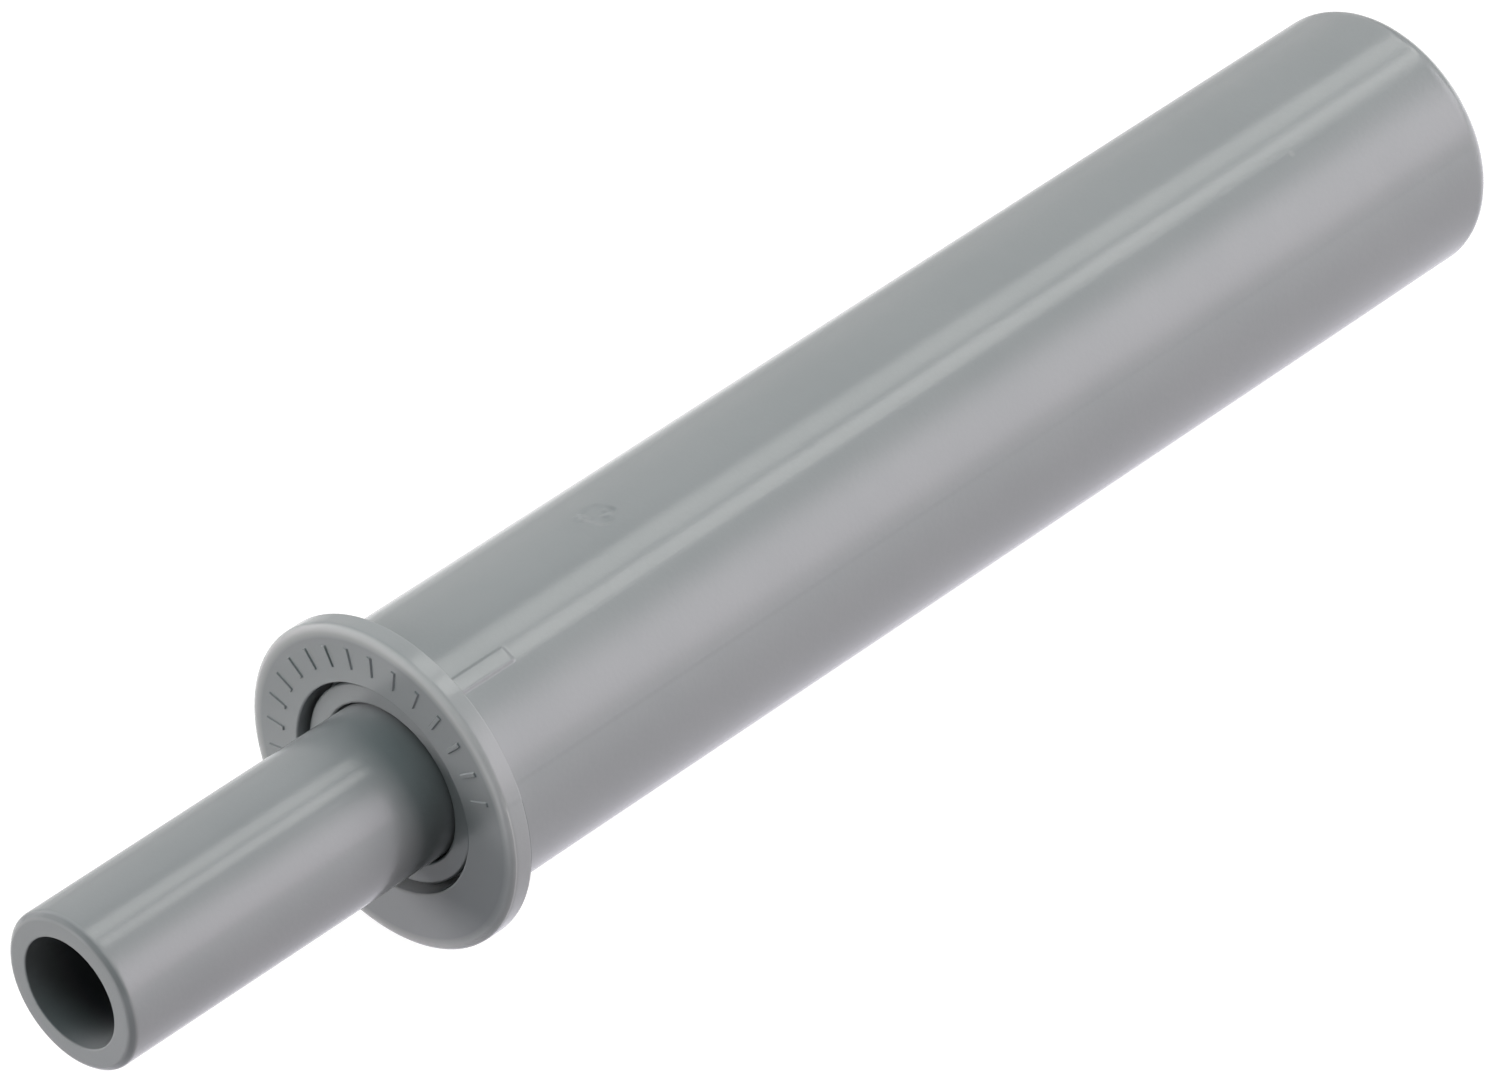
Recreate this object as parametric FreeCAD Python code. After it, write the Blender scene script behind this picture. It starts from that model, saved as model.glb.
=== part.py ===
import FreeCAD, Part
import math
import os

from FreeCAD import Vector

# Soft close damper. Its axis is Y, the plunger looks towards -Y, and y = 0 is the seat of the
# flange on the cabinet edge. Sizes are in millimetres, angles in degrees from +Z towards +X.

# Housing
barrel_dia = 10.0
barrel_length = 50.0
barrel_end_round = 0.8
end_wall = 1.3
barrel_wall = 1.1
mouth_chamfer = 0.08
flange_dia = 12.05
flange_thickness = 0.85
flange_edge_chamfer = 0.16
flange_seat_chamfer = 0.06

# Gate mark: a dimple with the broken sprue in it
gate_angle = -6.0
gate_station = 10.0
gate_dia = 1.1
gate_depth = 0.09
sprue_dia = 0.5
sprue_height = 0.06

# Guide bush, snapped into the mouth
bush_wall = 0.92
bush_sink = 0.35
bush_length = 4.2
bush_nose_length = 0.9
bush_nose_gap = 0.2
bush_lead = 0.1
bead_station = 1.4
bead_width = 0.7
bead_flat = 0.25
bead_height = 0.2

# Plunger
plunger_wall = 0.87
plunger_reach = 14.2
plunger_pushed_reach = 1.2
tip_chamfer = 0.2
tip_bore_depth = 14.5
tip_bore_lead = 0.06
tip_bore_end_chamfer = 0.8
collar_length = 2.0
spigot_step = 0.6
spigot_length = 1.8
vent_count = 4
vent_dia = 0.9

# Piston rod
rod_dia = 2.0
rod_socket_depth = 5.5
rod_end_chamfer = 0.2
neck_dia = 1.5
tail_length = 0.4
tail_chamfer = 0.2

# Oil cartridge
cylinder_wall = 0.98
cylinder_end_wall = 1.0
cylinder_lead = 0.4
seal_shoulder = 0.25
cap_flange = 0.8
cap_spigot = 1.5
cap_boss_length = 0.8
seal_length = 1.4
seal_lip = 0.45
seal_groove_depth = 0.8
seal_groove_floor = 0.3
washer_thickness = 0.5
foam_length = 3.8
foam_gap = 0.2

# Piston with its one-way valve
piston_disc = 0.7
piston_disc_gap = 0.26
hub_share = 0.367
valve_ring_thickness = 1.0
valve_ring_gap = 0.34
valve_float = 0.3
throttle_width = 0.5
throttle_depth = 0.12
plate_thickness = 0.7
plate_notch_count = 4
plate_notch_dia = 1.6
clip_thickness = 0.4
clip_width = 0.7
clip_groove_depth = 0.2
clip_opening = 0.9

# Return spring
spring_wire = 0.4
spring_turns = 7
spring_runs_per_turn = 16
spring_wire_sides = 6

# Clearances
seat_clear = 0.02
slide_clear = 0.06
oil_clear = 0.04
rod_clear = 0.04
loose_clear = 0.1
spring_clear = 0.2
stop_clear = 0.05
end_clear = 0.2

# Radii that follow from the sizes above
barrel_r = barrel_dia / 2
flange_r = flange_dia / 2
bore_r = barrel_r - barrel_wall
bead_r = bore_r + bead_height
bush_r = bore_r - seat_clear
bush_nose_r = bore_r - bush_nose_gap
plunger_r = bush_r - bush_wall - slide_clear
tip_bore_r = plunger_r - plunger_wall
collar_r = bore_r - slide_clear
spigot_r = plunger_r - spigot_step
rod_r = rod_dia / 2
neck_r = neck_dia / 2
clip_groove_r = neck_r - clip_groove_depth
cylinder_r = bore_r - seat_clear
cylinder_bore_r = cylinder_r - cylinder_wall
seal_seat_r = cylinder_bore_r + seal_shoulder
gland_r = seal_seat_r - seat_clear
valve_ring_r = cylinder_bore_r - oil_clear
piston_disc_r = valve_ring_r - piston_disc_gap
hub_r = neck_r + hub_share * (valve_ring_r - neck_r - valve_ring_gap)
spring_r = spigot_r + spring_clear + spring_wire / 2

# Stations along the axis, from the tip of the plunger to the floor of the bore
stroke = plunger_reach - plunger_pushed_reach
flange_face = -flange_thickness
tip = flange_face - plunger_reach
bush_front = flange_face + bush_sink
bush_rear = bush_front + bush_length
bead_front = bush_front + bead_station
bead_rear = bead_front + bead_width
collar_front = bush_rear + stop_clear
collar_rear = collar_front + collar_length
spigot_rear = collar_rear + spigot_length
tip_bore_floor = tip + tip_bore_depth
socket_floor = spigot_rear - rod_socket_depth
bore_floor = barrel_length - end_wall
cylinder_floor = bore_floor - cylinder_end_wall
rod_end = cylinder_floor - end_clear - stroke
clip_rear = rod_end - tail_length
clip_front = clip_rear - clip_thickness
plate_front = clip_front - plate_thickness
valve_front = plate_front - valve_float - valve_ring_thickness
piston_front = valve_front - piston_disc
foam_rear = piston_front - foam_gap
washer_rear = foam_rear - foam_length
seal_rear = washer_rear - washer_thickness
seal_front = seal_rear - seal_length
cylinder_front = seal_front - cap_spigot
cap_front = cylinder_front - cap_flange

origin = Vector(0, 0, 0)
along = Vector(0, 1, 0)
upward = Vector(0, 0, 1)


def turned(profile):
    # Solid of revolution about the axis, from (radius, station) corners
    corners = [Vector(radius, station, 0) for radius, station in profile]
    face = Part.Face(Part.makePolygon(corners + corners[:1]))
    return face.revolve(origin, along, 360)


def rims(solid, radius, station):
    # The round edges of a turned solid at one radius and station
    def is_rim(edge):
        curve = edge.Curve
        if curve.TypeId != "Part::GeomCircle":
            return False
        return abs(curve.Radius - radius) < 1e-6 and abs(curve.Center.y - station) < 1e-6

    return [edge for edge in solid.Edges if is_rim(edge)]


def rounded(solid, size, radius, station):
    return solid.makeFillet(size, rims(solid, radius, station))


def chamfered(solid, size, radius, station):
    return solid.makeChamfer(size, rims(solid, radius, station))


def rod_along(radius, front, rear, offset=0.0):
    # Cylinder parallel to the axis, set off from it towards +Z
    return Part.makeCylinder(radius, rear - front, Vector(0, front, offset), along)


def all_round(cutter, count):
    # Copies of a cutter at even angles about the axis
    return [cutter.rotated(origin, along, 360.0 * i / count) for i in range(count)]


def gate_dimple():
    floor = Vector(0, gate_station, barrel_r - gate_depth)
    dimple = Part.makeCylinder(gate_dia / 2, barrel_r, floor, upward)
    sprue = Part.makeCylinder(sprue_dia / 2, sprue_height, floor, upward)
    return dimple.cut(sprue).rotated(origin, along, gate_angle)


def housing():
    groove_r = bead_r + seat_clear
    sleeve = turned([
        (0, barrel_length),
        (barrel_r, barrel_length),
        (barrel_r, 0),
        (flange_r, 0),
        (flange_r, flange_face),
        (bore_r, flange_face),
        (bore_r, bead_front - seat_clear),
        (groove_r, bead_front - seat_clear),
        (groove_r, bead_rear + seat_clear),
        (bore_r, bead_rear + seat_clear),
        (bore_r, bore_floor),
        (0, bore_floor),
    ])
    sleeve = rounded(sleeve, barrel_end_round, barrel_r, barrel_length)
    sleeve = chamfered(sleeve, flange_edge_chamfer, flange_r, flange_face)
    sleeve = chamfered(sleeve, flange_seat_chamfer, flange_r, 0)
    sleeve = chamfered(sleeve, mouth_chamfer, bore_r, flange_face)
    return sleeve.cut(gate_dimple())


def guide_bush():
    hole_r = plunger_r + slide_clear
    nose_rear = bush_front + bush_nose_length
    bush = turned([
        (hole_r, bush_front),
        (bush_nose_r, bush_front),
        (bush_nose_r, nose_rear),
        (bush_r, nose_rear),
        (bush_r, bead_front),
        (bead_r, bead_front),
        (bead_r, bead_front + bead_flat),
        (bush_r, bead_rear),
        (bush_r, bush_rear),
        (hole_r, bush_rear),
    ])
    bush = chamfered(bush, bush_lead, hole_r, bush_front)
    return chamfered(bush, bush_lead, bush_nose_r, bush_front)


def plunger():
    socket_r = rod_r + seat_clear
    rod = turned([
        (0, tip_bore_floor),
        (tip_bore_r, tip_bore_floor),
        (tip_bore_r, tip),
        (plunger_r, tip),
        (plunger_r, collar_front),
        (collar_r, collar_front),
        (collar_r, collar_rear),
        (spigot_r, collar_rear),
        (spigot_r, spigot_rear),
        (socket_r, spigot_rear),
        (socket_r, socket_floor),
        (0, socket_floor),
    ])
    rod = chamfered(rod, tip_chamfer, plunger_r, tip)
    rod = chamfered(rod, tip_bore_lead, tip_bore_r, tip)
    rod = chamfered(rod, tip_bore_end_chamfer, tip_bore_r, tip_bore_floor)
    vent = rod_along(vent_dia / 2, collar_front, collar_rear, collar_r)
    return rod.cut(all_round(vent, vent_count))


def piston_rod():
    rod_front = socket_floor + seat_clear
    rod = turned([
        (0, rod_front),
        (rod_r, rod_front),
        (rod_r, piston_front - seat_clear),
        (neck_r, piston_front - seat_clear),
        (neck_r, clip_front - seat_clear),
        (clip_groove_r, clip_front - seat_clear),
        (clip_groove_r, clip_rear + seat_clear),
        (neck_r, clip_rear + seat_clear),
        (neck_r, rod_end),
        (0, rod_end),
    ])
    rod = chamfered(rod, rod_end_chamfer, rod_r, rod_front)
    return chamfered(rod, tail_chamfer, neck_r, rod_end)


def cylinder():
    cup = turned([
        (0, bore_floor),
        (cylinder_r, bore_floor),
        (cylinder_r, cylinder_front),
        (seal_seat_r, cylinder_front),
        (seal_seat_r, washer_rear),
        (cylinder_bore_r, washer_rear),
        (cylinder_bore_r, cylinder_floor),
        (0, cylinder_floor),
    ])
    return chamfered(cup, cylinder_lead, cylinder_r, bore_floor)


def front_cap():
    hole_r = rod_r + rod_clear
    boss_front = cap_front - cap_boss_length
    return turned([
        (hole_r, boss_front),
        (spigot_r, boss_front),
        (spigot_r, cap_front),
        (cylinder_r, cap_front),
        (cylinder_r, cylinder_front),
        (gland_r, cylinder_front),
        (gland_r, seal_front),
        (hole_r, seal_front),
    ])


def rod_seal():
    hole_r = rod_r + rod_clear
    middle_r = (hole_r + gland_r) / 2
    groove_front = seal_rear - seal_groove_depth
    return turned([
        (hole_r, seal_front),
        (gland_r, seal_front),
        (gland_r, seal_rear),
        (gland_r - seal_lip, seal_rear),
        (middle_r + seal_groove_floor / 2, groove_front),
        (middle_r - seal_groove_floor / 2, groove_front),
        (hole_r + seal_lip, seal_rear),
        (hole_r, seal_rear),
    ])


def ring(inner_r, outer_r, front, rear):
    return turned([(inner_r, front), (outer_r, front), (outer_r, rear), (inner_r, rear)])


def seal_washer():
    return ring(rod_r + loose_clear, gland_r, seal_rear, washer_rear)


def foam_sleeve():
    return ring(rod_r + loose_clear, cylinder_bore_r - loose_clear, washer_rear, foam_rear)


def piston():
    hole_r = neck_r + seat_clear
    return turned([
        (hole_r, piston_front),
        (piston_disc_r, piston_front),
        (piston_disc_r, valve_front),
        (hub_r, valve_front),
        (hub_r, plate_front),
        (hole_r, plate_front),
    ])


def valve_ring():
    front = valve_front + seat_clear
    band = ring(hub_r + valve_ring_gap, valve_ring_r, front, front + valve_ring_thickness)
    corner = Vector(-throttle_width / 2, front, 0)
    throttle = Part.makeBox(throttle_width, throttle_depth, valve_ring_r + oil_clear, corner)
    return band.cut(throttle)


def valve_plate():
    disc = ring(neck_r + seat_clear, valve_ring_r, plate_front, clip_front)
    notch = rod_along(plate_notch_dia / 2, plate_front, clip_front, valve_ring_r)
    return disc.cut(all_round(notch, plate_notch_count))


def piston_clip():
    inner_r = clip_groove_r + seat_clear
    outer_r = inner_r + clip_width
    band = ring(inner_r, outer_r, clip_front, clip_rear)
    corner = Vector(-clip_opening / 2, clip_front, 0)
    opening = Part.makeBox(clip_opening, clip_thickness, outer_r + clip_width, corner)
    return band.cut(opening)


def on_helix(turn, front, pitch):
    angle = 2 * math.pi * turn
    return Vector(spring_r * math.sin(angle), front + pitch * turn, spring_r * math.cos(angle))


def return_spring():
    # Wire in short straight runs round a helix, with both ends ground flat
    front = collar_rear + seat_clear
    rear = cap_front - seat_clear
    pitch = (rear - front) / spring_turns
    lead_out = spring_wire / pitch
    runs = round((spring_turns + 2 * lead_out) * spring_runs_per_turn)
    turns = [i / spring_runs_per_turn - lead_out for i in range(runs + 1)]
    path = [on_helix(turn, front, pitch) for turn in turns]
    circle = Part.makeCircle(spring_wire / 2, path[0], path[1] - path[0])
    section = Part.makePolygon(circle.discretize(spring_wire_sides + 1))
    coil = Part.makePolygon(path).makePipeShell([section], True, False, 1)
    return coil.common(rod_along(bore_r, front, rear))


os.makedirs("parts", exist_ok=True)

for make_piece in (
    housing,
    guide_bush,
    plunger,
    return_spring,
    piston_rod,
    cylinder,
    front_cap,
    rod_seal,
    seal_washer,
    foam_sleeve,
    piston,
    valve_ring,
    valve_plate,
    piston_clip,
):
    make_piece().exportStep("parts/" + make_piece.__name__ + ".step")
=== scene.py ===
import math

import bmesh
import bpy
from mathutils import Matrix, Vector, noise


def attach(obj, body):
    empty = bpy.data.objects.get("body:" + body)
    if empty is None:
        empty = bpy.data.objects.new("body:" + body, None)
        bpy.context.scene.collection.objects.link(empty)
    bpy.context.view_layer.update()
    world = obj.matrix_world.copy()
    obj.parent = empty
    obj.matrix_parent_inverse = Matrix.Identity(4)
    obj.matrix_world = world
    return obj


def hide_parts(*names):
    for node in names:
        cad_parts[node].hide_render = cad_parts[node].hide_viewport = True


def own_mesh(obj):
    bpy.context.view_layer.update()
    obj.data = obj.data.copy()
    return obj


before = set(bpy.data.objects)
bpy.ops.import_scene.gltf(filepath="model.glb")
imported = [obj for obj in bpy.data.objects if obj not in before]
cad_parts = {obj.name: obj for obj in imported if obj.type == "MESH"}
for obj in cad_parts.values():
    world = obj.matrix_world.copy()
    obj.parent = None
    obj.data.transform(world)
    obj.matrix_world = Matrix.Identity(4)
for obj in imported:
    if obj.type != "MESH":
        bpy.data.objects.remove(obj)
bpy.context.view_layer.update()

mm = 0.001
arcStep = math.radians(11)  # turn of one step in a rounding
supportShare, supportMost = 0.3, 0.08  # ring beside a rounding: share of its radius, and mm at most
sameRadius = 1e-4  # mm
ringGap = 0.004  # mm kept free beside the end of a straight run
lineGap = 0.3  # an even line closer than this share of its step to a feature's line is left out
sharpTurn = math.radians(38)
print("frame loaded:", len(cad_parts), "nodes")


# helpers for turned pieces
def roundedProfile(corners, closed=False):
    # corners are (radius, station, rounding) in mm; gives (radius, station, wornAndLit) points, the last
    # rising to 1 mid-rounding to paint that edge paler as wear and painted highlight
    points = []
    count = len(corners)
    for i, (r, y, rounding) in enumerate(corners):
        here = Vector((r, y))
        atEnd = not closed and i in (0, count - 1)
        if rounding <= 0 or atEnd:
            points.append((r, y, 0.0))
            continue
        before = Vector(corners[i - 1][:2]) - here
        after = Vector(corners[(i + 1) % count][:2]) - here
        before.normalize()
        after.normalize()
        turn = math.pi - before.angle(after)
        reach = rounding * math.tan(turn / 2)
        middle = (before + after).normalized()
        centre = here + middle * (rounding / math.cos(turn / 2))
        steps = max(3, math.ceil(turn / arcStep))
        support = min(supportShare * rounding, supportMost)
        start = here + before * reach - centre
        side = 1 if before.cross(after) < 0 else -1
        points.append((*(here + before * (reach + support)), 0.0))
        for k in range(steps + 1):
            spin = side * turn * k / steps
            c, s = math.cos(spin), math.sin(spin)
            x = centre.x + start.x * c - start.y * s
            z = centre.y + start.x * s + start.y * c
            points.append((x, z, math.sin(math.pi * k / steps)))
        points.append((*(here + after * (reach + support)), 0.0))
    return points


def addStations(profile, radius, stations):
    # extra rings on the straight run that has this radius
    made = []
    for i, point in enumerate(profile):
        made.append(point)
        if i + 1 == len(profile):
            break
        ahead = profile[i + 1]
        if abs(point[0] - radius) > sameRadius or abs(ahead[0] - radius) > sameRadius:
            continue
        low, high = sorted((point[1], ahead[1]))
        inside = [y for y in sorted(set(stations)) if low + ringGap < y < high - ringGap]
        if ahead[1] < point[1]:
            inside.reverse()
        made += [(radius, y, 0.0) for y in inside]
    return made


def angleLines(steps, extra=()):
    # even lines round the axis and the extra ones that a feature needs, in degrees
    lines = sorted({round(a % 360.0, 4) for a in extra})
    for i in range(steps):
        angle = 360.0 * i / steps
        gap = min((abs((angle - a + 180) % 360 - 180) for a in lines), default=360)
        if gap > lineGap * 360.0 / steps:
            lines.append(angle)
    return sorted(lines)


def turnedMesh(name, profile, lines, dent=None, closed=False):
    # rings of points round the Y axis; angles go from +Z towards +X
    verts, faces, wearAndSheen, rings = [], [], [], []
    for r, y, wornAndLit in profile:
        if r < 1e-6:
            rings.append([len(verts)])
            verts.append((0.0, y * mm, 0.0))
            wearAndSheen.append(wornAndLit)
            continue
        ring = []
        for angle in lines:
            shift = dent(r, y, angle) if dent else 0.0
            t = math.radians(angle)
            ring.append(len(verts))
            verts.append(((r + shift) * math.sin(t) * mm, y * mm, (r + shift) * math.cos(t) * mm))
            wearAndSheen.append(wornAndLit)
        rings.append(ring)
    pairs = list(zip(rings, rings[1:]))
    if closed:
        pairs.append((rings[-1], rings[0]))
    n = len(lines)
    for one, two in pairs:
        for i in range(n):
            j = (i + 1) % n
            if len(one) == 1:
                faces.append((one[0], two[j], two[i]))
            elif len(two) == 1:
                faces.append((one[i], one[j], two[0]))
            else:
                faces.append((one[i], one[j], two[j], two[i]))
    mesh = bpy.data.meshes.new(name)
    mesh.from_pydata(verts, [], faces)
    mesh.attributes.new("wearAndSheen", "FLOAT", "POINT").data.foreach_set("value", wearAndSheen)
    shell = bmesh.new()
    shell.from_mesh(mesh)
    bmesh.ops.recalc_face_normals(shell, faces=shell.faces)
    shell.to_mesh(mesh)
    shell.free()
    mesh.shade_smooth()
    mesh.set_sharp_from_angle(angle=sharpTurn)
    return mesh


def placePiece(name, mesh, material, body, slotName, *nodes):
    mesh.materials.clear()
    mesh.materials.append(material)
    piece = bpy.data.objects.new(name, mesh)
    bpy.context.scene.collection.objects.link(piece)
    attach(piece, body)
    if nodes:
        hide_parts(*nodes)
    return piece


# shader groups
def addNode(tree, kind, x, y, **values):
    node = tree.nodes.new(kind)
    node.location = (x, y)
    for key, value in values.items():
        setattr(node, key, value)
    return node


def newGroup(name, inputs, outputs):
    tree = bpy.data.node_groups.new(name, "ShaderNodeTree")
    for label, kind, value in inputs:
        socket = tree.interface.new_socket(name=label, in_out="INPUT", socket_type=kind)
        if value is not None:
            socket.default_value = value
    for label in outputs:
        tree.interface.new_socket(name=label, in_out="OUTPUT", socket_type="NodeSocketFloat")
    return tree, addNode(tree, "NodeGroupInput", -900, 0), addNode(tree, "NodeGroupOutput", 700, 0)


def mathNode(tree, operation, x, y, first, second=None, third=None):
    node = addNode(tree, "ShaderNodeMath", x, y, operation=operation)
    for i, value in enumerate((first, second, third)):
        if value is None:
            continue
        if isinstance(value, (int, float)):
            node.inputs[i].default_value = value
        else:
            tree.links.new(value, node.inputs[i])
    return node.outputs[0]


def rangeNode(tree, x, y, value, low, high, toLow=0.0, toHigh=1.0):
    node = addNode(tree, "ShaderNodeMapRange", x, y, interpolation_type="SMOOTHSTEP")
    for label, number in (("From Min", low), ("From Max", high), ("To Min", toLow), ("To Max", toHigh)):
        node.inputs[label].default_value = number
    tree.links.new(value, node.inputs["Value"])
    return node.outputs["Result"]


def noiseNode(tree, x, y, vector, scale, detail=2.0):
    node = addNode(tree, "ShaderNodeTexNoise", x, y)
    node.inputs["Detail"].default_value = detail
    tree.links.new(vector, node.inputs["Vector"])
    if isinstance(scale, (int, float)):
        node.inputs["Scale"].default_value = scale
    else:
        tree.links.new(scale, node.inputs["Scale"])
    return node.outputs["Fac"]


def stretched(tree, x, y, vector, along):
    node = addNode(tree, "ShaderNodeVectorMath", x, y, operation="MULTIPLY")
    node.inputs[1].default_value = along
    tree.links.new(vector, node.inputs[0])
    return node.outputs[0]


def mouldSkinGroup():
    # fine skin of a moulded part: eroded grain, cloudy colour, flow lines along the axis
    tree, start, end = newGroup(
        "mouldSkin",
        (("Vector", "NodeSocketVector", None), ("Grain Scale", "NodeSocketFloat", 6000.0),
         ("Cloud Scale", "NodeSocketFloat", 260.0), ("Flow Scale", "NodeSocketFloat", 900.0)),
        ("Grain", "Cloud", "Flow", "Ripple"))
    vector = start.outputs["Vector"]
    fine = noiseNode(tree, -600, 300, vector, start.outputs["Grain Scale"], 3.0)
    cloud = noiseNode(tree, -600, 80, vector, start.outputs["Cloud Scale"], 4.0)
    along = stretched(tree, -720, -160, vector, (1.0, 0.06, 1.0))
    flow = noiseNode(tree, -520, -160, along, start.outputs["Flow Scale"], 2.0)
    ripple = noiseNode(tree, -520, -360, stretched(tree, -720, -360, vector, (1.0, 0.3, 1.0)), 420.0, 1.0)
    tree.links.new(rangeNode(tree, -300, 300, fine, 0.25, 0.75), end.inputs["Grain"])
    tree.links.new(rangeNode(tree, -300, 80, cloud, 0.3, 0.7), end.inputs["Cloud"])
    tree.links.new(rangeNode(tree, -300, -160, flow, 0.3, 0.7), end.inputs["Flow"])
    tree.links.new(ripple, end.inputs["Ripple"])
    return tree


def handlingGroup():
    # what handling leaves: hairline scratches along the axis and stray specks of dust
    tree, start, end = newGroup(
        "handling",
        (("Vector", "NodeSocketVector", None), ("Scratch Scale", "NodeSocketFloat", 3500.0),
         ("Speck Scale", "NodeSocketFloat", 420.0), ("Speck Share", "NodeSocketFloat", 0.06)),
        ("Scratch", "Speck"))
    vector = start.outputs["Vector"]
    hair = noiseNode(tree, -560, 200, stretched(tree, -740, 200, vector, (1.0, 0.03, 1.0)),
                     start.outputs["Scratch Scale"], 1.0)
    where = noiseNode(tree, -560, 0, vector, 300.0, 2.0)
    scratch = mathNode(tree, "MULTIPLY", -120, 150, rangeNode(tree, -340, 200, hair, 0.66, 0.74),
                       rangeNode(tree, -340, 0, where, 0.48, 0.66))
    cells = addNode(tree, "ShaderNodeTexVoronoi", -560, -260)
    tree.links.new(vector, cells.inputs["Vector"])
    tree.links.new(start.outputs["Speck Scale"], cells.inputs["Scale"])
    dot = rangeNode(tree, -340, -220, cells.outputs["Distance"], 0.035, 0.075, 1.0, 0.0)
    pick = addNode(tree, "ShaderNodeSeparateColor", -340, -440)
    tree.links.new(cells.outputs["Color"], pick.inputs[0])
    chosen = mathNode(tree, "LESS_THAN", -120, -400, pick.outputs[0], start.outputs["Speck Share"])
    tree.links.new(scratch, end.inputs["Scratch"])
    tree.links.new(mathNode(tree, "MULTIPLY", 80, -260, dot, chosen), end.inputs["Speck"])
    return tree


mouldSkin = mouldSkinGroup()
handling = handlingGroup()


def mixColours(tree, x, y, factor, first, second):
    node = addNode(tree, "ShaderNodeMix", x, y, data_type="RGBA", clamp_factor=True)
    for index, value in ((0, factor), (6, first), (7, second)):
        if isinstance(value, tuple):
            node.inputs[index].default_value = (*value, 1.0)
        elif isinstance(value, (int, float)):
            node.inputs[index].default_value = value
        else:
            tree.links.new(value, node.inputs[index])
    return node.outputs[2]


def newMaterial(name):
    material = bpy.data.materials.new(name)
    material.use_nodes = True
    tree = material.node_tree
    tree.nodes.clear()
    shader = addNode(tree, "ShaderNodeBsdfPrincipled", 500, 0)
    end = addNode(tree, "ShaderNodeOutputMaterial", 800, 0)
    tree.links.new(shader.outputs[0], end.inputs[0])
    coords = addNode(tree, "ShaderNodeTexCoord", -1100, 0)
    return material, tree, shader, coords.outputs["Object"]


def groupNode(tree, group, x, y, vector, **values):
    node = addNode(tree, "ShaderNodeGroup", x, y, node_tree=group)
    tree.links.new(vector, node.inputs["Vector"])
    for label, value in values.items():
        node.inputs[label.replace("_", " ")].default_value = value
    return node


def bumpNode(tree, x, y, height, strength, distance, normal=None):
    node = addNode(tree, "ShaderNodeBump", x, y)
    node.inputs["Strength"].default_value = strength
    node.inputs["Distance"].default_value = distance
    tree.links.new(height, node.inputs["Height"])
    if normal:
        tree.links.new(normal, node.inputs["Normal"])
    return node.outputs["Normal"]


def mouldedPlastic(name, look):
    material, tree, shader, place = newMaterial(name)
    skin = groupNode(tree, mouldSkin, -800, 200, place, Grain_Scale=look["grainScale"])
    marks = groupNode(tree, handling, -800, -200, place, Speck_Share=look["speckShare"])
    # edges are painted paler, partly wear and partly painted highlight; on the housing this also paints light
    # on the flange rim and front corner
    wearAndSheen = addNode(tree, "ShaderNodeAttribute", -800, -500, attribute_name="wearAndSheen")
    body = mixColours(tree, -400, 300, skin.outputs["Cloud"], look["colour"], look["cloudColour"])
    edge = mathNode(tree, "MULTIPLY", -500, -400, wearAndSheen.outputs["Fac"], look["wearAndSheenShow"])
    body = mixColours(tree, -200, 250, edge, body, look["wearAndSheenColour"])
    body = mixColours(tree, 0, 200, marks.outputs["Speck"], body, look["speckColour"])
    # painted shade: the blind bore's colour darkens further in
    if "boreShadeColour" in look:
        deep = addNode(tree, "ShaderNodeAttribute", -200, 500, attribute_name="deep")
        body = mixColours(tree, 200, 300, deep.outputs["Fac"], body, look["boreShadeColour"])
    tree.links.new(body, shader.inputs["Base Color"])
    gloss = mathNode(tree, "MULTIPLY_ADD", -400, -60, skin.outputs["Flow"], look["glossSpread"],
                     look["roughness"])
    gloss = mathNode(tree, "MULTIPLY_ADD", -200, -60, marks.outputs["Scratch"], look["scratchRough"], gloss)
    tree.links.new(gloss, shader.inputs["Roughness"])
    ripple = bumpNode(tree, 0, -300, skin.outputs["Ripple"], look["rippleStrength"], look["rippleHeight"])
    grain = bumpNode(tree, 200, -300, skin.outputs["Grain"], look["grainStrength"], look["grainHeight"],
                     ripple)
    tree.links.new(grain, shader.inputs["Normal"])
    shader.inputs["IOR"].default_value = look["ior"]
    return material


# housing: barrel with flange
housingSizes = {
    "barrelRadius": 5.0, "barrelLength": 50.0, "endRound": 0.8, "boreRadius": 3.9, "boreFloor": 48.7,
    "flangeRadius": 6.025, "flangeFace": -0.85, "frontRound": 0.24, "rearRound": 0.07, "mouthRound": 0.08,
    "grooveRadius": 4.12, "grooveFront": 0.88, "grooveRear": 1.62,
    "ribAngle": 25.5, "ribHalfWidth": 0.38, "ribSideRun": 0.15, "ribLength": 3.0, "ribEndRun": 0.12,
    "ribHeight": 0.085,
    "gateAngle": -6.0, "gateStation": 10.0, "gateRadius": 0.68, "gateDepth": 0.075, "gateReach": 1.1,
    "gateRun": (-0.3, 0.05), "gateTear": 0.25, "gateMesh": 0.055,
    "stubRadius": 0.28, "stubRun": (-0.15, 0.05), "stubHeight": 0.055,
    "stubPlaces": ((-0.23, -0.49), (0.15, 0.24)),
    "partingAngle": 69.2, "partingSlant": -0.037, "partingWidth": 0.11, "partingStep": 0.020,
    "partingFade": 0.4, "partingMesh": 0.03,
    # painted light on the flange rim and front corner, and edges painted paler as wear and painted highlight
    "rimPaintedLight": 0.12, "cornerPaintedLight": 0.92, "cornerReach": (0.12, 0.5), "cornerSquash": 2.2, "edgeWearAndSheen": 0.08,
    "paintedLightBand": 0.06, "rimBand": 0.03, "plainEnd": 0.5, "tearScale": 2.3, "stubScale": 4.0,
}
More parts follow.
